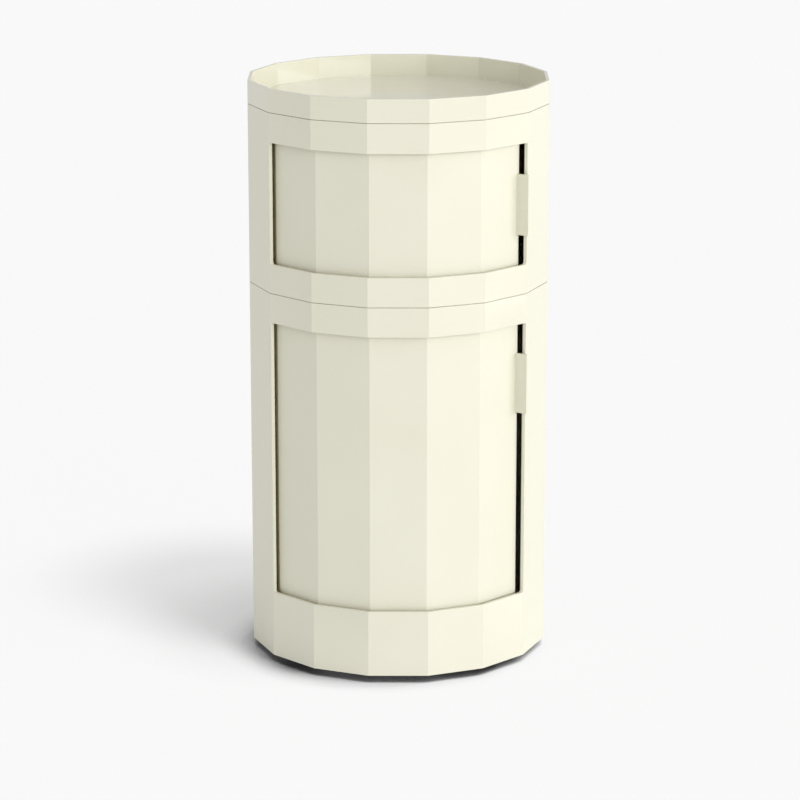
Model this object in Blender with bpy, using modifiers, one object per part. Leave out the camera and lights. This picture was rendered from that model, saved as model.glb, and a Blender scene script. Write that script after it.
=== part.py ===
"""Round side cabinet: two stacked sixteen-sided modules with sliding doors, under a loose tray."""

import math

import bmesh
import bpy
from mathutils import Vector

# Overall form, in metres
SIDES = 16
ACROSS_FLATS = 0.350
LOWER_HEIGHT = 0.440
UPPER_HEIGHT = 0.2105
TRAY_RIM = 0.0272
TRAY_DEPTH = 0.0260
FOOT_HEIGHT = 0.0087

# Moulded walls and plates
SHELL_WALL = 0.0042
TRAY_WALL = 0.0038
TRAY_FLOOR = 0.0035
FLOOR_PLATE = 0.0040
RING_PLATE = 0.0030
LEDGE_PLATE = 0.0035
LEDGE_WIDTH = 0.0360
LEDGE_RISE = 0.0100

# Doorways
DOORWAY_FACETS = 5
LOWER_SILL = 0.0781
UPPER_SILL = 0.0342
HEAD_BAND = 0.0343
JAMB_INSET = 0.0007
SILL_CORNER = 0.0030
HEAD_CORNER = 0.0010

# Stacking step between modules
SEAM = 0.0006
SEAT_LIP = 0.0021
SPIGOT_WALL = 0.0026
SPIGOT_HEIGHT = 0.0060

# Doors and their pull tabs
DOOR_PANEL = 0.0030
DOOR_TRIM = 0.0030
DOOR_LAP = 0.0140
TAB_HEIGHT = 0.0710
TAB_DROP = 0.0363
TAB_THICK = 0.0028
TAB_PROUD = 0.0054
TAB_CORNER = 0.0020
TAB_INSET = 0.0008

# Circular tracks and the shoes that run in them
TRACK_WIDTH = 0.0066
TRACK_RIB = 0.0020
TRACK_DEPTH = 0.0050
TRACK_BED = 0.0006
TRACK_ROOT = 0.0010
TRACK_STEPS = 64
RING_EDGE = 0.0020
SHOE_LENGTH = 0.0240
SHOE_CHEEK = 0.0019
SHOE_GRIP = 0.0060
SHOE_BRIDGE = 0.0018
SHOE_LEAD = 0.0008
BOTTOM_SHOE_FACETS = (-2, 0, 2)
TOP_SHOE_FACETS = (-2, 2)

# Ribs under the floors
FLOOR_RIBS = 8
RIB_TIP = 0.0026
RIB_HUB = 0.0060
RIB_DEPTH = 0.0050
RIB_END_GAP = 0.0070

# Feet and their screws
FOOT_COUNT = 4
FOOT_INSET = 0.0248
FOOT_RADIUS = 0.0130
FOOT_CHAMFER = 0.0012
FOOT_RECESS = 0.0042
BOSS_RADIUS = 0.0070
SCREW_RADIUS = 0.00175
SCREW_HEAD_RADIUS = 0.0035
SCREW_HEAD = 0.0024
SCREW_BITE = 0.0080
SCREW_POINT = 0.0015
SCREW_DOME = 0.0010
TURNED_STEPS = 32
CORNER_STEPS = 6

# Clearances
GAP = 0.0003
FIT = 0.0004
DOOR_CLEARANCE = 0.0018
SHOE_PLAY = 0.0009
TOP_PLAY = 0.0005
OVERCUT = 0.0040

# Sizes that follow
FLAT = ACROSS_FLATS / 2
STEP = 2 * math.pi / SIDES
CORNER = 1 / math.cos(STEP / 2)
WALL_IN = FLAT - SHELL_WALL
SEAT_IN = FLAT - SEAT_LIP
SPIGOT_OUT = SEAT_IN - FIT
SPIGOT_IN = SPIGOT_OUT - SPIGOT_WALL
SEAT_DEPTH = SPIGOT_HEIGHT - SEAM + RING_PLATE + 2 * GAP
LEDGE_IN = WALL_IN - LEDGE_WIDTH
LEDGE_TOP = LEDGE_RISE + LEDGE_PLATE
FOOT_CIRCLE = WALL_IN - FOOT_INSET
FLOOR_TOP = LEDGE_TOP + GAP + FLOOR_PLATE
DOOR_FLAT = (WALL_IN - DOOR_CLEARANCE) / CORNER
DOORWAY_HALF = DOORWAY_FACETS * STEP / 2
DOOR_START = -DOORWAY_HALF - DOOR_LAP / DOOR_FLAT
DOOR_END = DOORWAY_HALF - DOOR_TRIM / DOOR_FLAT
DOORWAY_CUT = DOORWAY_HALF - JAMB_INSET / (FLAT * CORNER)
TRACK_MID = DOOR_FLAT - DOOR_PANEL / 2
TRACK_IN = TRACK_MID - TRACK_WIDTH / 2
TRACK_OUT = TRACK_MID + TRACK_WIDTH / 2
TONGUE_HALF = TRACK_WIDTH / 2 - SHOE_PLAY
TONGUE_HEIGHT = TRACK_DEPTH - TRACK_BED - GAP + TOP_PLAY
SLOT_HALF = DOOR_PANEL / 2 + GAP
SHOE_SEAT = TONGUE_HEIGHT + SHOE_BRIDGE + GAP
LOWER_Z = FOOT_HEIGHT + GAP
UPPER_Z = LOWER_Z + LOWER_HEIGHT + SEAM
TRAY_Z = UPPER_Z + UPPER_HEIGHT + SEAM
MERGE = 0.00001
SHARP_ANGLE = math.radians(20)


def clear_scene():
    for old in list(bpy.data.objects):
        bpy.data.objects.remove(old, do_unlink=True)


def collection(name):
    made = bpy.data.collections.new(name)
    bpy.context.scene.collection.children.link(made)
    return made


def finish(name, colour, roughness, metallic=0.0):
    """A plain Principled material."""
    made = bpy.data.materials.new(name)
    made.use_nodes = True
    shader = made.node_tree.nodes["Principled BSDF"]
    shader.inputs["Base Color"].default_value = (*colour, 1.0)
    shader.inputs["Roughness"].default_value = roughness
    shader.inputs["Metallic"].default_value = metallic
    return made


def polar(radius, angle):
    """The plan position at this angle from the front, turning towards +X."""
    return Vector((radius * math.sin(angle), -radius * math.cos(angle), 0.0))


def facet_radius(flat, angle):
    """Axis to a faceted wall whose flats are this far out, in the direction of an angle."""
    return flat / math.cos((angle + STEP / 2) % STEP - STEP / 2)


def baked(thing):
    """The evaluated mesh of a temporary object, welded and facing out. The object is removed."""
    bpy.context.scene.collection.objects.link(thing)
    graph = bpy.context.evaluated_depsgraph_get()
    mesh = bpy.data.meshes.new_from_object(thing.evaluated_get(graph))
    mesh.name = thing.name
    bpy.data.objects.remove(thing)
    form = bmesh.new()
    form.from_mesh(mesh)
    bmesh.ops.remove_doubles(form, verts=form.verts, dist=MERGE)
    bmesh.ops.recalc_face_normals(form, faces=form.faces)
    form.to_mesh(mesh)
    form.free()
    mesh.shade_smooth()
    mesh.set_sharp_from_angle(angle=SHARP_ANGLE)
    return mesh


def turned(name, profile, steps, start=0.0):
    """A profile of (radius, height) points swept round Z. It closes on itself unless it ends on the axis."""
    mesh = bpy.data.meshes.new(name)
    points = [polar(radius, start) + Vector((0.0, 0.0, height)) for radius, height in profile]
    edges = [(i, i + 1) for i in range(len(points) - 1)]
    if profile[0][0] > 0:
        edges.append((len(points) - 1, 0))
    mesh.from_pydata(points, edges, [])
    thing = bpy.data.objects.new(name, mesh)
    sweep = thing.modifiers.new("Sweep", "SCREW")
    sweep.steps = sweep.render_steps = steps
    sweep.use_merge_vertices = True
    sweep.merge_threshold = MERGE
    return baked(thing)


def faceted(name, profile):
    """A profile of (axis to flat, height) points swept round in flat facets, one of them facing the front."""
    corners = [(flat * CORNER, height) for flat, height in profile]
    return turned(name, corners, SIDES, STEP / 2)


def outline_solid(name, points, bottom, top):
    """A flat outline given as (x, y) points, filled and raised from bottom to top."""
    curve = bpy.data.curves.new(name, "CURVE")
    curve.dimensions = "2D"
    curve.fill_mode = "BOTH"
    curve.extrude = (top - bottom) / 2
    line = curve.splines.new("POLY")
    line.points.add(len(points) - 1)
    for spot, (x, y) in zip(line.points, points):
        spot.co = (x, y, 0.0, 1.0)
    line.use_cyclic_u = True
    mesh = baked(bpy.data.objects.new(name, curve))
    for vertex in mesh.vertices:
        vertex.co.z += (top + bottom) / 2
    return mesh


def arc(centre, radius, first, last):
    """Points along an arc, both ends included."""
    angles = [first + (last - first) * i / CORNER_STEPS for i in range(CORNER_STEPS + 1)]
    return [(centre[0] + radius * math.cos(a), centre[1] + radius * math.sin(a)) for a in angles]


def cylinder(form, radius, bottom, top, place):
    """Adds a round bar to a mesh that is being built."""
    made = bmesh.ops.create_cone(
        form, cap_ends=True, segments=TURNED_STEPS, radius1=radius, radius2=radius, depth=top - bottom
    )
    bmesh.ops.translate(form, verts=made["verts"], vec=place + Vector((0, 0, (top + bottom) / 2)))


def part(name, mesh, material, parent, place=(0.0, 0.0, 0.0), turn=(0.0, 0.0, 0.0)):
    """One piece of the cabinet, set in its parent's frame."""
    made = bpy.data.objects.new(name, mesh)
    if not mesh.materials:
        mesh.materials.append(material)
    made.parent = parent
    made.location = place
    made.rotation_euler = turn
    cabinet.objects.link(made)
    return made


def frame(name, height, parent=None):
    """An empty on the cabinet's axis."""
    made = bpy.data.objects.new(name, None)
    made.parent = parent
    made.location = (0.0, 0.0, height)
    cabinet.objects.link(made)
    return made


def combine(piece, mesh, operation, place=(0.0, 0.0, 0.0), turn=(0.0, 0.0, 0.0)):
    """Joins a helper shape to a piece, or cuts it out. The helper keeps to the piece's frame."""
    helper = bpy.data.objects.new(mesh.name, mesh)
    helper.parent = piece
    helper.location = place
    helper.rotation_euler = turn
    helper.hide_render = True
    helper.display_type = "WIRE"
    helpers.objects.link(helper)
    step = piece.modifiers.new(mesh.name, "BOOLEAN")
    step.operation = operation
    step.object = helper


def doorway(sill, head):
    """The space of a doorway through the wall: radial ends, with rounded corners at sill and head."""
    inner, outer = DOOR_FLAT, FLAT * CORNER + OVERCUT
    stops = [-DOORWAY_CUT + 2 * DOORWAY_CUT * i / DOORWAY_FACETS for i in range(DOORWAY_FACETS + 1)]
    line = [polar(outer * CORNER, a).xy for a in stops] + [polar(inner, a).xy for a in reversed(stops)]
    mesh = outline_solid("doorway", line, sill, head)
    form = bmesh.new()
    form.from_mesh(mesh)
    for height, radius in ((sill, SILL_CORNER), (head, HEAD_CORNER)):
        form.edges.ensure_lookup_table()
        ends = [edge for edge in form.edges if is_radial_end(edge, height)]
        bmesh.ops.bevel(form, geom=ends, offset=radius, segments=CORNER_STEPS, profile=0.5, affect="EDGES")
    form.to_mesh(mesh)
    form.free()
    return mesh


def is_radial_end(edge, height):
    """True for an edge at this height that runs along one of the doorway's two ends."""
    for vertex in edge.verts:
        angle = math.atan2(vertex.co.x, -vertex.co.y)
        if abs(vertex.co.z - height) > MERGE or abs(abs(angle) - DOORWAY_CUT) > MERGE:
            return False
    return True


def track(face, side):
    """A circular channel standing on a plate's face: side 1 stands up from it, side -1 hangs under it."""
    lip_in, lip_out = TRACK_IN - TRACK_RIB, TRACK_OUT + TRACK_RIB
    root, bed, lip = face - side * TRACK_ROOT, face + side * TRACK_BED, face + side * TRACK_DEPTH
    profile = [(lip_out, lip), (lip_out, root), (lip_in, root), (lip_in, lip)]
    profile += [(TRACK_IN, lip), (TRACK_IN, bed), (TRACK_OUT, bed), (TRACK_OUT, lip)]
    return turned("door_track", profile, TRACK_STEPS, math.pi / TRACK_STEPS)


def shell(name, height, sill, module, stands_on_feet):
    """A module's outer wall, with the ledge that carries its floor and the step that takes what stacks on it."""
    if stands_on_feet:
        foot = [(FLAT, 0.0), (WALL_IN, 0.0), (WALL_IN, LEDGE_RISE)]
    else:
        foot = [(FLAT, 0.0), (SPIGOT_OUT, 0.0), (SPIGOT_OUT, -SPIGOT_HEIGHT)]
        foot += [(SPIGOT_IN, -SPIGOT_HEIGHT), (SPIGOT_IN, LEDGE_RISE)]
    ledge = [(LEDGE_IN, LEDGE_RISE), (LEDGE_IN, LEDGE_TOP), (WALL_IN, LEDGE_TOP)]
    seat = [(WALL_IN, height - SEAT_DEPTH), (SEAT_IN, height - SEAT_DEPTH), (SEAT_IN, height)]
    mesh = faceted(name, [(FLAT, height)] + foot + ledge + seat)
    wall = part(name, mesh, shell_finish, module)
    if stands_on_feet:
        combine(wall, bars("foot_bosses", BOSS_RADIUS, 0.0, LEDGE_RISE + LEDGE_PLATE / 2), "UNION")
        pilot = SCREW_BITE + GAP + SCREW_POINT
        combine(wall, bars("screw_holes", SCREW_RADIUS + GAP, -OVERCUT, pilot), "DIFFERENCE")
    combine(wall, doorway(sill, height - HEAD_BAND), "DIFFERENCE")


def foot_places():
    """The plan position of each foot, between the front and the sides."""
    turn = 2 * math.pi / FOOT_COUNT
    return [polar(FOOT_CIRCLE, (i + 0.5) * turn) for i in range(FOOT_COUNT)]


def bars(name, radius, bottom, top):
    """One upright bar over each foot."""
    form = bmesh.new()
    for place in foot_places():
        cylinder(form, radius, bottom, top, place)
    mesh = bpy.data.meshes.new(name)
    form.to_mesh(mesh)
    form.free()
    return mesh


def floor(name, module):
    """A module's floor: a plate dropped onto the ledge, with the door's track on it and ribs under it."""
    under = FLOOR_TOP - FLOOR_PLATE
    edge = WALL_IN - FIT
    plate = faceted(name, [(0.0, FLOOR_TOP), (edge, FLOOR_TOP), (edge, under), (0.0, under)])
    made = part(name, plate, floor_finish, module)
    combine(made, track(FLOOR_TOP, 1), "UNION")
    ribs = outline_solid("floor_ribs", rib_star(), under - RIB_DEPTH, under + FLOOR_PLATE / 2)
    combine(made, ribs, "UNION")


def rib_star():
    """The outline of tapered ribs that meet in the middle of a floor."""
    reach = LEDGE_IN - RIB_END_GAP
    turn = 2 * math.pi / FLOOR_RIBS
    outline = []
    for i in range(FLOOR_RIBS):
        along, across = polar(reach, i * turn), polar(RIB_TIP / 2, i * turn + math.pi / 2)
        outline += [(along - across).xy, (along + across).xy, polar(RIB_HUB, (i + 0.5) * turn).xy]
    return outline


def guide_ring(name, height, module):
    """The ring dropped into a module's top step, with the track that guides the door's upper edge."""
    bottom = height - SEAT_DEPTH + GAP
    inner = (TRACK_IN - TRACK_RIB - RING_EDGE) / CORNER
    profile = [(SPIGOT_OUT, bottom + RING_PLATE), (SPIGOT_OUT, bottom), (inner, bottom)]
    mesh = faceted(name, profile + [(inner, bottom + RING_PLATE)])
    made = part(name, mesh, floor_finish, module)
    combine(made, track(bottom, -1), "UNION")


def door_line(flat):
    """The plan points of a door face, from its left end behind the shell to its right end in the doorway."""
    corners = [i * STEP - DOORWAY_HALF for i in range(DOORWAY_FACETS)]
    return [polar(facet_radius(flat, a), a).xy for a in [DOOR_START, *corners, DOOR_END]]


def door(name, height, module):
    """A faceted panel on shoes. It laps the shell at its left end, and has a pull tab at its right end."""
    shoe_foot = FLOOR_TOP + TRACK_BED + GAP
    shoe_head = height - SEAT_DEPTH + GAP - TRACK_BED - TOP_PLAY
    bottom, top = shoe_foot + SHOE_SEAT, shoe_head - SHOE_SEAT
    line = door_line(DOOR_FLAT) + door_line(DOOR_FLAT - DOOR_PANEL)[::-1]
    panel = part(name, outline_solid(name, line, bottom, top), door_finish, module)
    tab_top = height - HEAD_BAND - TAB_DROP
    combine(panel, pull_tab(tab_top - TAB_HEIGHT, tab_top), "UNION", turn=upright(DOOR_END))
    for places, end, flip, side in (
        (BOTTOM_SHOE_FACETS, shoe_foot, 1, "bottom"),
        (TOP_SHOE_FACETS, shoe_head, -1, "top"),
    ):
        for number, facet in enumerate(places, 1):
            place = polar(TRACK_MID, facet * STEP) + Vector((0.0, 0.0, end))
            shoe = f"{name}_{side}_shoe_{number}"
            part(shoe, shoe_mesh, shoe_finish, panel, place, upright(facet * STEP, flip))


def upright(angle, flip=1):
    """The turn that stands an outline up in a radial plane, its x outwards and its y upwards (or down)."""
    return (flip * math.pi / 2, 0.0, angle - math.pi / 2)


def pull_tab(bottom, top):
    """The tab's plate, drawn as it is seen from the side, with its two outer corners rounded."""
    root = facet_radius(DOOR_FLAT - DOOR_PANEL / 2, DOOR_END)
    tip = FLAT * CORNER + TAB_PROUD
    quarter = math.pi / 2
    line = [(root, bottom)]
    line += arc((tip - TAB_CORNER, bottom + TAB_CORNER), TAB_CORNER, -quarter, 0.0)
    line += arc((tip - TAB_CORNER, top - TAB_CORNER), TAB_CORNER, 0.0, quarter)
    line += [(root, top)]
    return outline_solid("pull_tab", line, TAB_INSET, TAB_INSET + TAB_THICK)


def shoe_outline():
    """A shoe seen from its end: a tongue for the track and two cheeks that grip the door's edge."""
    cheek = SLOT_HALF + SHOE_CHEEK
    slot = TONGUE_HEIGHT + SHOE_BRIDGE
    crown = slot + SHOE_GRIP
    half = [(TONGUE_HALF - SHOE_LEAD, 0.0), (TONGUE_HALF, SHOE_LEAD), (TONGUE_HALF, TONGUE_HEIGHT)]
    half += [(cheek, TONGUE_HEIGHT), (cheek, crown), (SLOT_HALF, crown), (SLOT_HALF, slot)]
    return half + [(-x, y) for x, y in reversed(half)]


def tray(name, height):
    """The loose tray: a faceted rim round a flat floor, with a spigot that drops into the upper module."""
    top = TRAY_RIM - TRAY_DEPTH
    under = top - TRAY_FLOOR
    rim = [(FLAT - TRAY_WALL, top), (FLAT - TRAY_WALL, TRAY_RIM), (FLAT, TRAY_RIM), (FLAT, 0.0)]
    spigot = [(SPIGOT_OUT, 0.0), (SPIGOT_OUT, -SPIGOT_HEIGHT), (SPIGOT_IN, -SPIGOT_HEIGHT)]
    mesh = faceted(name, [(0.0, top)] + rim + spigot + [(SPIGOT_IN, under), (0.0, under)])
    part(name, mesh, tray_finish, root, (0.0, 0.0, height))


def feet():
    """Rubber feet, each held up to its boss by a screw whose head is sunk clear of the floor."""
    bore, recess = SCREW_RADIUS + GAP, SCREW_HEAD_RADIUS + GAP
    profile = [(FOOT_RADIUS, FOOT_HEIGHT), (FOOT_RADIUS, FOOT_CHAMFER), (FOOT_RADIUS - FOOT_CHAMFER, 0.0)]
    profile += [(recess, 0.0), (recess, FOOT_RECESS), (bore, FOOT_RECESS), (bore, FOOT_HEIGHT)]
    foot_mesh = turned("foot", profile, TURNED_STEPS)
    head_top = FOOT_RECESS - GAP
    head = head_top - SCREW_HEAD
    tip = FOOT_HEIGHT + GAP + SCREW_BITE
    shank = [(0.0, tip), (SCREW_RADIUS, tip - SCREW_POINT), (SCREW_RADIUS, head_top)]
    cap = [(SCREW_HEAD_RADIUS, head_top), (SCREW_HEAD_RADIUS, head + SCREW_DOME)]
    cap += [(SCREW_HEAD_RADIUS - SCREW_DOME, head), (0.0, head)]
    screw_mesh = turned("foot_screw", shank + cap, TURNED_STEPS)
    for number, place in enumerate(foot_places(), 1):
        part(f"foot_{number}", foot_mesh, rubber, root, place)
        part(f"foot_screw_{number}", screw_mesh, steel, root, place)


clear_scene()
cabinet = collection("round_side_cabinet")
helpers = collection("cutters")

shell_finish = finish("cream_shell", (0.80, 0.79, 0.68), 0.38)
door_finish = finish("cream_door", (0.80, 0.79, 0.68), 0.38)
tray_finish = finish("cream_tray", (0.80, 0.79, 0.68), 0.34)
floor_finish = finish("cream_floor", (0.78, 0.77, 0.66), 0.45)
shoe_finish = finish("natural_acetal", (0.86, 0.86, 0.83), 0.40)
rubber = finish("black_rubber", (0.03, 0.03, 0.03), 0.80)
steel = finish("zinc_steel", (0.55, 0.56, 0.58), 0.35, 1.0)

root = frame("cabinet_frame", 0.0)
shoe_mesh = outline_solid("shoe", shoe_outline(), -SHOE_LENGTH / 2, SHOE_LENGTH / 2)
for prefix, height, sill, base, on_feet in (
    ("lower", LOWER_HEIGHT, LOWER_SILL, LOWER_Z, True),
    ("upper", UPPER_HEIGHT, UPPER_SILL, UPPER_Z, False),
):
    module = frame(f"{prefix}_module", base, root)
    shell(f"{prefix}_shell", height, sill, module, on_feet)
    floor(f"{prefix}_floor", module)
    guide_ring(f"{prefix}_guide_ring", height, module)
    door(f"{prefix}_door", height, module)
tray("top_tray", TRAY_Z)
feet()
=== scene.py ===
# %% [markdown]
# # A round side cabinet in moulded plastic
#
# The cabinet is a stack of three mouldings: a tall lower module, a short upper module and a loose dished
# tray. Each module has a faceted door that slides round inside it on a circular track.
#
# The shapes come from a imported CAD model, and this lesson gives them their looks. It sets a camera and soft
# light, rounds the edges, mixes the finishes, and models the small parts underneath.

# %% Load the CAD frame
import math

import bpy
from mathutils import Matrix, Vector


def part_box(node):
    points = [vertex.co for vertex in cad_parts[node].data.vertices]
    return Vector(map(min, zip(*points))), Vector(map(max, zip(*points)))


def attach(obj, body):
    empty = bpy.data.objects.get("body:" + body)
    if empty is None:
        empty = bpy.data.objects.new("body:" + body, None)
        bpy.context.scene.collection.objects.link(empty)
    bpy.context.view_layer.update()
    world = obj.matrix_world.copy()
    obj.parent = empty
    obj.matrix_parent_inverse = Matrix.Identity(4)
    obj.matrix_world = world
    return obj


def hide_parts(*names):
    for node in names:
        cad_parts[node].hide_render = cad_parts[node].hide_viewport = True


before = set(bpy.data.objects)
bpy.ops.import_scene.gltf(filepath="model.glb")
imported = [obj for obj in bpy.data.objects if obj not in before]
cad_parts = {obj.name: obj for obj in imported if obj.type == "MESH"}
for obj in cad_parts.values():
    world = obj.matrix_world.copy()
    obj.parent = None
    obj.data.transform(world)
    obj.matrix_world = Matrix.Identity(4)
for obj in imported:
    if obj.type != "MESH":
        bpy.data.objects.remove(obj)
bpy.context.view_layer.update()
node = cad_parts

# %% [markdown]
# ## Camera
#
# The photograph was taken from a little above the tray, straight on to the front, with a long lens. A long
# lens keeps the upright edges almost parallel. The place and the lens below were found by matching the
# corners of the cabinet, so nothing has to be shifted or cropped afterwards.

# %% Camera
CAMERA_PLACE = (0.0070, -3.7032, 1.2509)
CAMERA_TILT = math.radians(75.549)
CAMERA_PAN = math.radians(0.081)
CAMERA_LENS = 143.564
SENSOR_WIDTH = 36.0

bpy.ops.object.select_all(action="DESELECT")
bpy.ops.object.camera_add(location=CAMERA_PLACE, rotation=(CAMERA_TILT, 0.0, CAMERA_PAN))
camera = bpy.context.object
camera.name = "photo_camera"
camera.data.sensor_width = SENSOR_WIDTH
camera.data.lens = CAMERA_LENS
bpy.context.scene.camera = camera
bpy.context.scene.view_settings.view_transform = "Standard"
print("camera", round(camera.location.length, 3), "m from the cabinet's foot")

# %% [markdown]
# ## Room light
#
# A studio for pale things is itself pale: light comes from all round, and only a little more from one side.
# The world gives that even light. The camera and the reflections see a backdrop in its place, which is near
# white at the floor and falls to the room's own grey higher up. So the background can be pale without any
# more light falling on the cabinet, and the polished tray reflects the room.
#
# The world and the finishes are all built from nodes, so a few helpers that add and join nodes come first.

# %% Node helpers
def grey(value):
    """A grey as a colour."""
    return (value, value, value, 1.0)


def add_node(tree, kind, **settings):
    """Adds a node to a node tree and sets its own settings."""
    made = tree.nodes.new(kind)
    for name, value in settings.items():
        setattr(made, name, value)
    return made


def add_ramp(tree, stops):
    """Adds a colour ramp with (position, colour) stops."""
    made = add_node(tree, "ShaderNodeValToRGB")
    elements = made.color_ramp.elements
    elements.remove(elements[0])
    elements[0].position, elements[0].color = stops[0]
    for position, colour in stops[1:]:
        elements.new(position).color = colour
    return made


def link(tree, source, out, target, into):
    """Joins an output of one node to an input of another."""
    tree.links.new(source.outputs[out], target.inputs[into])


def seen_directly(tree):
    """A node that is one for the rays that the eye follows: camera, reflected and transmitted ones."""
    ray = add_node(tree, "ShaderNodeLightPath")
    reflected = add_node(tree, "ShaderNodeMath", operation="MAXIMUM")
    link(tree, ray, "Is Camera Ray", reflected, 0)
    link(tree, ray, "Is Glossy Ray", reflected, 1)
    passed = add_node(tree, "ShaderNodeMath", operation="MAXIMUM")
    link(tree, reflected, "Value", passed, 0)
    link(tree, ray, "Is Transmission Ray", passed, 1)
    return passed


# %% Room light
ROOM_LIGHT = 0.665
BACKDROP = 0.947
BACKDROP_FALL = (0.075, 0.15)

world = bpy.data.worlds.new("studio_room")
bpy.context.scene.world = world
world.use_nodes = True
sky = world.node_tree
room = sky.nodes["Background"]
room.inputs["Color"].default_value = grey(ROOM_LIGHT)
backdrop = add_node(sky, "ShaderNodeBackground")
sight = add_node(sky, "ShaderNodeTexCoord")
sight_parts = add_node(sky, "ShaderNodeSeparateXYZ")
fall = add_ramp(sky, list(zip(BACKDROP_FALL, (grey(BACKDROP), grey(ROOM_LIGHT)))))
choose = add_node(sky, "ShaderNodeMixShader")
link(sky, sight, "Generated", sight_parts, "Vector")
link(sky, sight_parts, "Z", fall, "Fac")
link(sky, fall, "Color", backdrop, "Color")
link(sky, seen_directly(sky), "Value", choose, 0)
link(sky, room, "Background", choose, 1)
link(sky, backdrop, "Background", choose, 2)
link(sky, choose, "Shader", sky.nodes["World Output"], "Surface")
print("room light", ROOM_LIGHT, "backdrop", BACKDROP)

# %% [markdown]
# ## Key light
#
# The right-hand facets are the brightest and the shadow falls to the left and behind, so the main light
# stands in front and to the right. It is low and wide: the tray's floor is darker than the front facet, and
# the heads of the doorways hardly shade the doors. Two sun lamps with wide discs stand side by side and do
# the work of one long soft box. A sun lights every part of the floor alike, which an area lamp doesn't.

# %% Key light
KEY_TURNS = (math.radians(33.0), math.radians(73.0))
KEY_RISE = math.radians(9.0)
KEY_DISC = math.radians(34.0)
KEY_STRENGTH = 0.37
LAMP_DISTANCE = 3.0


def towards(turn, rise):
    """The direction of something that stands turned to the right of the front and raised above the floor."""
    return Vector((math.cos(rise) * math.sin(turn), -math.cos(rise) * math.cos(turn), math.sin(rise)))


def soft_sun(name, direction, disc, strength):
    """Adds a sun lamp with a wide disc that shines from a direction."""
    bpy.ops.object.select_all(action="DESELECT")
    bpy.ops.object.light_add(type="SUN", location=direction * LAMP_DISTANCE)
    lamp = bpy.context.object
    lamp.name = name
    lamp.rotation_euler = direction.to_track_quat("Z", "Y").to_euler()
    lamp.data.angle = disc
    lamp.data.energy = math.pi * strength
    print(name, round(lamp.data.energy, 3), "from", [round(v, 2) for v in direction])
    return lamp


for number, turn in enumerate(KEY_TURNS, start=1):
    soft_sun(f"soft_key_{number}", towards(turn, KEY_RISE), KEY_DISC, KEY_STRENGTH)

# %% [markdown]
# ## Floor
#
# A product photograph has no visible corner between the floor and the wall. One very large sheet of paper
# does that here, because at this angle the camera sees only floor. The paper's colour and glow carry a
# painted shade, darkest in the narrow gap under the cabinet, which an ambient occlusion node measures. The
# node looks out to the right and back, and not straight up, so the painted shade is palest at the right,
# where more light gets in. Each shade is a pair of how open the place is and the share of the paper's
# brightness that is left there.

# %% Floor
FLOOR_SIZE = 60.0
PAPER = 0.10
GAP_REACH = 0.06
GAP_TURN = math.radians(120.0)
GAP_RISE = math.radians(40.0)
GAP_SHADES = [(0.23, 0.03), (0.41, 0.06), (0.49, 0.30), (0.62, 0.82), (0.80, 1.0)]

bpy.ops.object.select_all(action="DESELECT")
bpy.ops.mesh.primitive_plane_add(size=FLOOR_SIZE)
studio_floor = bpy.context.object
studio_floor.name = "studio_floor"
paper = bpy.data.materials.new("pale_paper")
paper.use_nodes = True
studio_floor.data.materials.append(paper)
sheet = paper.node_tree
paper_face = sheet.nodes["Principled BSDF"]
paper_face.inputs["Roughness"].default_value = 1.0
paper_face.inputs["Specular IOR Level"].default_value = 0.0
outlook = add_node(sheet, "ShaderNodeCombineXYZ")
for axis, value in zip("XYZ", towards(GAP_TURN, GAP_RISE)):
    outlook.inputs[axis].default_value = value
openness = add_node(sheet, "ShaderNodeAmbientOcclusion")
openness.inputs["Distance"].default_value = GAP_REACH
# painted shade: the paper's colour and glow darken where the occlusion finds little room
shade = add_ramp(sheet, [(opening, grey(PAPER * share)) for opening, share in GAP_SHADES])
link(sheet, outlook, "Vector", openness, "Normal")
link(sheet, openness, "AO", shade, "Fac")
for socket in ("Base Color", "Emission Color"):
    link(sheet, shade, "Color", paper_face, socket)
print("floor", [round(side, 1) for side in studio_floor.dimensions])

# %% [markdown]
# ## Paper glow
#
# A sheet that is lit on its own looks evenly bright. Lamps alone could do that, but the cabinet's shadow on
# it would be too deep. So the paper itself glows for more than half of its brightness. It glows less for the
# rays that only carry light to the cabinet, so that the floor doesn't brighten the facets from below.

# %% Paper glow
PAPER_GLOW = 5.33
PAPER_GLOW_UNSEEN = 3.39

glow = add_node(sheet, "ShaderNodeMapRange")
glow.inputs["To Min"].default_value = PAPER_GLOW_UNSEEN
glow.inputs["To Max"].default_value = PAPER_GLOW
link(sheet, seen_directly(sheet), "Value", glow, "Value")
link(sheet, glow, "Result", paper_face, "Emission Strength")
print("paper glow", round(PAPER_GLOW * PAPER, 3))

# %% [markdown]
# ## Paper lights
#
# Two more soft lamps stand high up and light the paper alone. Light linking keeps them off the cabinet, which
# still stands in their way and throws a short soft shadow to the left and behind, as in the photograph. Each
# lamp has a turn to the right and a rise, both in degrees, and a strength.

# %% Paper lights
PAPER_LIGHTS = [(46.0, 65.0, 2.04), (62.0, 80.0, 1.52)]
PAPER_LIGHT_DISC = math.radians(14.0)

paper_only = bpy.data.collections.new("paper_only")
paper_only.objects.link(studio_floor)
for number, (turn, rise, strength) in enumerate(PAPER_LIGHTS, start=1):
    above = towards(math.radians(turn), math.radians(rise))
    lamp = soft_sun(f"paper_light_{number}", above, PAPER_LIGHT_DISC, strength)
    lamp.light_linking.receiver_collection = paper_only

# %% [markdown]
# ## Rounded edges
#
# A mould leaves no edge perfectly sharp. The edges could be rounded by hand in each mesh, but the CAD meshes
# stay as they are, so modifiers do it. A weld joins the loose triangles, a planar dissolve and a new
# triangulation lay them out evenly on each flat, and a bevel rounds each edge that turns by more than twenty
# degrees.

# %% Edge rounding
EDGE_ROUND = 0.0003
EDGE_SEGMENTS = 2
EDGE_ANGLE = math.radians(20.0)
WELD_DISTANCE = 0.00002
FLAT_ANGLE = 0.01


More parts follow.
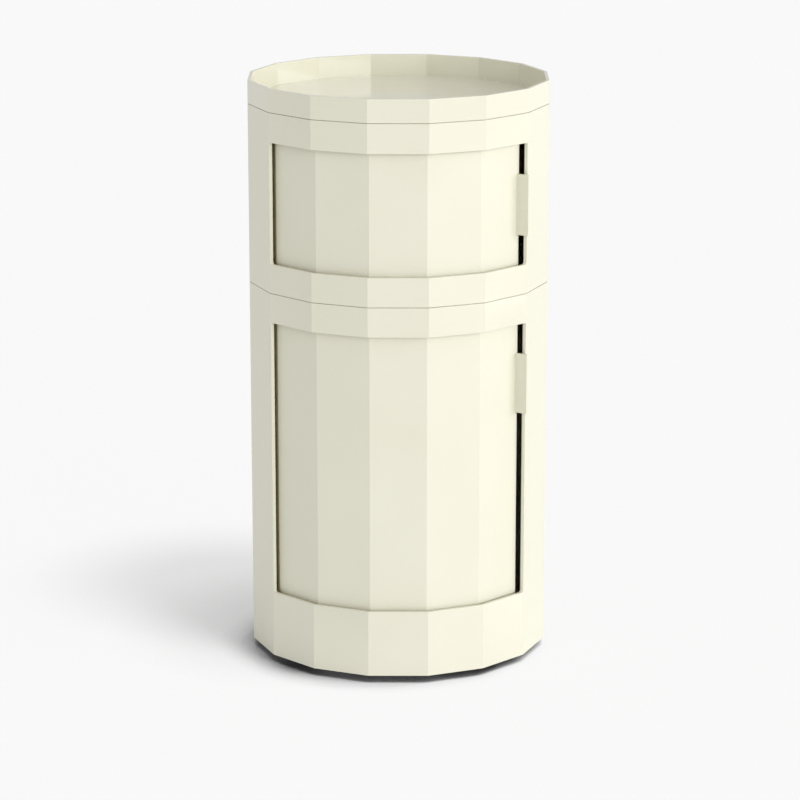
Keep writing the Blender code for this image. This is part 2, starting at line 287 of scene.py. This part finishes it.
def round_edges(thing, width):
    """Adds the modifiers that round a CAD node's edges."""
    weld = thing.modifiers.new("join_triangles", "WELD")
    weld.merge_threshold = WELD_DISTANCE
    flats = thing.modifiers.new("whole_flats", "DECIMATE")
    flats.decimate_type = "DISSOLVE"
    flats.angle_limit = FLAT_ANGLE
    thing.modifiers.new("even_triangles", "TRIANGULATE")
    edge = thing.modifiers.new("rounded_edges", "BEVEL")
    edge.width = width
    edge.segments = EDGE_SEGMENTS
    edge.limit_method = "ANGLE"
    edge.angle_limit = EDGE_ANGLE
    edge.harden_normals = True
    edge.loop_slide = False


moulded = [thing for name, thing in node.items() if not name.startswith("foot")]
for thing in moulded:
    round_edges(thing, EDGE_ROUND)
print("rounded", len(moulded), "nodes by", EDGE_ROUND * 1000, "mm")

# %% [markdown]
# ## Cream plastic
#
# The shells, doors and tray are moulded in one cream plastic. On the real part its colour drifts very
# slightly where the melt cooled, and the mould's polish shows as a faint unevenness in the gloss. One flat
# colour would look like a drawing, so two soft noises do that here: a slow one mixes two nearby creams and
# two nearby roughnesses, and a fine one lifts a very shallow grain as a bump. The tray is polished more than
# the rest.

# %% A grained finish
IOR = 1.5
PATCH_SCALE, PATCH_DETAIL = 9.0, 3.0
PATCH_LOW, PATCH_HIGH = 0.3, 0.7
GRAIN_SCALE, GRAIN_DETAIL = 900.0, 2.0


def noise(tree, scale, detail):
    """A noise on Object coordinates."""
    place = add_node(tree, "ShaderNodeTexCoord")
    made = add_node(tree, "ShaderNodeTexNoise")
    made.inputs["Scale"].default_value = scale
    made.inputs["Detail"].default_value = detail
    link(tree, place, "Object", made, "Vector")
    return made


def grained(name, light, dark, gloss, grain_depth):
    """A finish with two nearby colours, a pair of roughnesses and a fine shallow grain."""
    finish = bpy.data.materials.new(name)
    finish.use_nodes = True
    tree = finish.node_tree
    face = tree.nodes["Principled BSDF"]
    face.inputs["IOR"].default_value = IOR
    patches = noise(tree, PATCH_SCALE, PATCH_DETAIL)
    tone = add_ramp(tree, [(PATCH_LOW, (*dark, 1.0)), (PATCH_HIGH, (*light, 1.0))])
    link(tree, patches, "Fac", tone, "Fac")
    link(tree, tone, "Color", face, "Base Color")
    polish = add_node(tree, "ShaderNodeMapRange")
    for socket, value in zip(("From Min", "From Max", "To Min", "To Max"), (PATCH_LOW, PATCH_HIGH, *gloss)):
        polish.inputs[socket].default_value = value
    link(tree, patches, "Fac", polish, "Value")
    link(tree, polish, "Result", face, "Roughness")
    lift = add_node(tree, "ShaderNodeBump")
    lift.inputs["Distance"].default_value = grain_depth
    link(tree, noise(tree, GRAIN_SCALE, GRAIN_DETAIL), "Fac", lift, "Height")
    link(tree, lift, "Normal", face, "Normal")
    return finish


def paint(finish, *names):
    """Gives a finish to CAD nodes."""
    for name in names:
        node[name].material_slots[0].material = finish
    print(finish.name, "on", len(names), "nodes")


# %% Cream plastic
CREAM = (0.790, 0.774, 0.640)
CREAM_DEEP = (0.770, 0.752, 0.616)
SATIN, SATIN_GRAIN = (0.30, 0.38), 0.00002
POLISHED, POLISHED_GRAIN = (0.05, 0.08), 0.000002

shell_cream = grained("cream_shell_moulding", CREAM, CREAM_DEEP, SATIN, SATIN_GRAIN)
door_cream = grained("cream_door_moulding", CREAM, CREAM_DEEP, SATIN, SATIN_GRAIN)
tray_cream = grained("cream_tray_moulding", CREAM, CREAM_DEEP, POLISHED, POLISHED_GRAIN)
paint(shell_cream, "lower_shell", "upper_shell")
paint(door_cream, "lower_door", "upper_door")
paint(tray_cream, "top_tray")

# %% [markdown]
# ## Door edges: painted shade in the gap
#
# A door's left end goes on behind the jamb of its doorway. Light that comes back out of that narrow gap has
# met the cream plastic many times and has lost blue each time, so the gap looks olive and not grey. That
# shade and olive bounce light are painted into the door's colour: an ambient occlusion node finds the places
# with little room before them, and a ramp darkens and yellows the door's colour there.

# %% Door edges: painted shade
EDGE_REACH = 0.015
# painted shade and bounce light: the door's colour is darkened and yellowed where the gap is narrow
PAINTED_GAP_SHADE = (0.50, 0.46, 0.24, 1.0)
EDGE_SHUT, EDGE_OPEN = 0.10, 0.50

door_tree = door_cream.node_tree
door_face = door_tree.nodes["Principled BSDF"]
door_tone = door_face.inputs["Base Color"].links[0].from_node
room_before = add_node(door_tree, "ShaderNodeAmbientOcclusion")
room_before.inputs["Distance"].default_value = EDGE_REACH
painted_shade_ramp = add_ramp(door_tree, [(EDGE_SHUT, PAINTED_GAP_SHADE), (EDGE_OPEN, grey(1.0))])
painted_shade = add_node(door_tree, "ShaderNodeVectorMath", operation="MULTIPLY")
link(door_tree, room_before, "AO", painted_shade_ramp, "Fac")
link(door_tree, door_tone, "Color", painted_shade, 0)
link(door_tree, painted_shade_ramp, "Color", painted_shade, 1)
link(door_tree, painted_shade, "Vector", door_face, "Base Color")
print(door_cream.name, "deepened within", EDGE_REACH * 1000, "mm")

# %% [markdown]
# ## Floors and guide rings
#
# The floors and the rings are hidden by the doors and carry the tracks. They are the same plastic with the
# plain, slightly rough face that a mould has where nobody polishes it. They could share the shells' finish,
# but then the inside would shine as much as the outside.

# %% Floors and rings
PLAIN, PLAIN_GRAIN = (0.42, 0.52), 0.00003

floor_cream = grained("cream_floor_moulding", CREAM, CREAM_DEEP, PLAIN, PLAIN_GRAIN)
paint(floor_cream, "lower_floor", "upper_floor", "lower_guide_ring", "upper_guide_ring")

# %% [markdown]
# ## Sliding shoes
#
# The doors run on small shoes of natural acetal, a milky, slippery plastic. A plain white would look painted.
# A little light passes into the real plastic, so it gets a shallow subsurface as well as the moulded grain.

# %% Sliding shoes
ACETAL = (0.860, 0.860, 0.830)
ACETAL_DEEP = (0.820, 0.820, 0.785)
ACETAL_GLOSS, ACETAL_GRAIN = (0.34, 0.44), 0.00001
ACETAL_PASSES, ACETAL_PASSES_DEPTH = 0.2, 0.001

acetal = grained("natural_acetal_shoe", ACETAL, ACETAL_DEEP, ACETAL_GLOSS, ACETAL_GRAIN)
acetal_face = acetal.node_tree.nodes["Principled BSDF"]
acetal_face.inputs["Subsurface Weight"].default_value = ACETAL_PASSES
acetal_face.inputs["Subsurface Scale"].default_value = ACETAL_PASSES_DEPTH
paint(acetal, *[name for name in node if "shoe" in name])

# %% [markdown]
# ## Rubber feet
#
# Four soft feet lift the lower shell just off the floor and leave the dark gap under it. A real one is a
# turned shape: a chamfer where it meets the floor, two grooves round its side so that it can give a little,
# a ring groove underneath for grip, and a recess that hides the screw's head. Rings could be stacked and
# joined, but a lathe is simpler: one vertex is extruded from point to point along half of that outline, and
# a spin turns it round.

# %% A lathe
TURN_STEPS = 48
MERGE = 0.000001
MILLIMETRE = 0.001
SMOOTH_ANGLE = math.radians(25.0)


def turned(name, outline):
    """Turns an outline of (radius, height) points, in millimetres, round the upright axis."""
    points = [Vector((radius, 0.0, height)) * MILLIMETRE for radius, height in outline]
    bpy.ops.object.select_all(action="DESELECT")
    bpy.ops.mesh.primitive_plane_add(size=MILLIMETRE)
    piece = bpy.context.object
    piece.name = name
    bpy.ops.object.mode_set(mode="EDIT")
    bpy.ops.mesh.merge(type="CENTER")
    bpy.ops.transform.translate(value=points[0])
    for before, after in zip(points, points[1:]):
        bpy.ops.mesh.extrude_vertices_move(TRANSFORM_OT_translate={"value": after - before})
    bpy.ops.mesh.select_all(action="SELECT")
    bpy.ops.mesh.spin(steps=TURN_STEPS, angle=math.tau, center=(0.0, 0.0, 0.0), axis=(0.0, 0.0, 1.0))
    bpy.ops.mesh.select_all(action="SELECT")
    bpy.ops.mesh.remove_doubles(threshold=MERGE)
    bpy.ops.mesh.normals_make_consistent(inside=False)
    bpy.ops.object.mode_set(mode="OBJECT")
    print(name, "turned from", len(outline), "points")
    return piece


def soften(piece, width):
    """Rounds a piece's edges with an applied bevel, and shades it smooth up to its edges."""
    bpy.ops.object.select_all(action="DESELECT")
    piece.select_set(True)
    bpy.context.view_layer.objects.active = piece
    edge = piece.modifiers.new("soft_edges", "BEVEL")
    edge.width = width
    edge.segments = EDGE_SEGMENTS
    edge.limit_method = "ANGLE"
    edge.angle_limit = EDGE_ANGLE
    bpy.ops.object.modifier_apply(modifier=edge.name)
    bpy.ops.object.shade_smooth_by_angle(angle=SMOOTH_ANGLE)
    print(piece.name, len(piece.data.polygons), "faces")


# %% One rubber foot
FOOT_BORE = [(2.05, 8.7), (2.05, 4.2), (3.8, 4.2), (3.8, 0.5), (4.3, 0.0)]
FOOT_GRIP = [(6.6, 0.0), (7.0, 0.6), (8.6, 0.6), (9.0, 0.0), (11.8, 0.0)]
FOOT_SIDE = [
    (13.0, 1.2), (13.0, 2.8), (12.6, 3.2), (12.6, 3.8), (13.0, 4.2),
    (13.0, 5.4), (12.6, 5.8), (12.6, 6.4), (13.0, 6.8), (13.0, 8.4),
]
FOOT_TOP = [(12.7, 8.7), (2.05, 8.7)]
FOOT_EDGE = 0.00012
RUBBER = (0.035, 0.035, 0.035)
RUBBER_DEEP = (0.025, 0.025, 0.026)
MATT, MATT_GRAIN = (0.70, 0.85), 0.00004

rubber_foot = turned("rubber_foot", FOOT_BORE + FOOT_GRIP + FOOT_SIDE + FOOT_TOP)
soften(rubber_foot, FOOT_EDGE)
rubber = grained("black_rubber_foot", RUBBER, RUBBER_DEEP, MATT, MATT_GRAIN)
rubber_foot.data.materials.append(rubber)

# %% Four feet in their places
FEET = 4


def set_in_place(pattern, cad_name):
    """Copies a modelled piece to each of the four CAD nodes that it stands for, and removes the pattern."""
    for number in range(1, FEET + 1):
        node_name = f"{cad_name}_{number}"
        low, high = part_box(node_name)
        bpy.ops.object.select_all(action="DESELECT")
        pattern.select_set(True)
        bpy.context.view_layer.objects.active = pattern
        bpy.ops.object.duplicate()
        piece = bpy.context.object
        piece.name = f"{pattern.name}_{number}"
        piece.location = ((low.x + high.x) / 2, (low.y + high.y) / 2, 0.0)
        bpy.ops.object.transform_apply(location=True, rotation=False, scale=False)
        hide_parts(node_name)
        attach(piece, "carcass")
        print(piece.name, "stands for", node_name)
    bpy.data.objects.remove(pattern)


set_in_place(rubber_foot, "foot")

# %% [markdown]
# ## Foot screws
#
# Each foot is held by a zinc-plated screw for plastics: a low domed head, a cross recess for the driver, and
# a shank with coarse ridges and a point. The lathe makes the body, with rings for the thread, which is hidden
# in the shell. The recess is cut by a tapered cross, made from a box whose inner face is drawn in, and a
# second one turned across it. The cross is turned by half a step of the lathe, so that its corners fall
# between the edges that the lathe left on the head.

# %% One screw
HEAD = [(0.0, 1.5), (2.5, 1.5), (3.1, 1.75), (3.5, 2.5), (3.5, 3.9), (1.75, 3.9)]
RIDGE_FIRST, RIDGE_LAST = 5, 15
RIDGE_CREST, RIDGE_ROOT = 1.75, 1.45
ROOT_FROM, ROOT_TO = 0.3, 0.7
POINT = [(RIDGE_CREST, RIDGE_LAST), (RIDGE_CREST, 15.5), (0.0, 17.0)]

shank = []
for level in range(RIDGE_FIRST, RIDGE_LAST):
    shank += [(RIDGE_CREST, level), (RIDGE_ROOT, level + ROOT_FROM), (RIDGE_ROOT, level + ROOT_TO)]
foot_screw = turned("steel_foot_screw", HEAD + shank + POINT)

# %% Cross recess
ARM_LENGTH, ARM_WIDTH, RECESS_DEPTH = 0.0042, 0.0009, 0.0013
HEAD_FACE = (0.0, 0.0, 0.0015)
TAPER = 0.55
UPWARDS = 0.9
SCREW_EDGE = 0.00006

bpy.ops.object.select_all(action="DESELECT")
bpy.ops.mesh.primitive_cube_add(
    size=1.0, scale=(ARM_LENGTH, ARM_WIDTH, 2 * RECESS_DEPTH), location=HEAD_FACE
)
cross = bpy.context.object
bpy.ops.object.mode_set(mode="EDIT")
bpy.ops.mesh.select_mode(type="FACE")
bpy.ops.mesh.select_all(action="DESELECT")
bpy.ops.object.mode_set(mode="OBJECT")
for face in cross.data.polygons:
    face.select = face.normal.z > UPWARDS
bpy.ops.object.mode_set(mode="EDIT")
bpy.ops.transform.resize(value=(TAPER, TAPER, 1.0))
bpy.ops.mesh.select_all(action="SELECT")
bpy.ops.mesh.duplicate()
bpy.ops.transform.rotate(value=math.pi / 2, orient_axis="Z", center_override=HEAD_FACE)
bpy.ops.object.mode_set(mode="OBJECT")
cross.rotation_euler.z = math.pi / TURN_STEPS

cut = foot_screw.modifiers.new("cross_recess", "BOOLEAN")
cut.object = cross
cut.operation = "DIFFERENCE"
cut.solver = "EXACT"
cut.use_self = True
bpy.context.view_layer.objects.active = foot_screw
bpy.ops.object.modifier_apply(modifier=cut.name)
bpy.data.objects.remove(cross)
soften(foot_screw, SCREW_EDGE)

# %% Four screws in their places
ZINC = (0.58, 0.59, 0.61)
ZINC_DEEP = (0.50, 0.51, 0.54)
ZINC_GLOSS, ZINC_GRAIN = (0.25, 0.40), 0.00001

steel = grained("zinc_steel_screw", ZINC, ZINC_DEEP, ZINC_GLOSS, ZINC_GRAIN)
steel.node_tree.nodes["Principled BSDF"].inputs["Metallic"].default_value = 1.0
foot_screw.data.materials.append(steel)
set_in_place(foot_screw, "foot_screw")
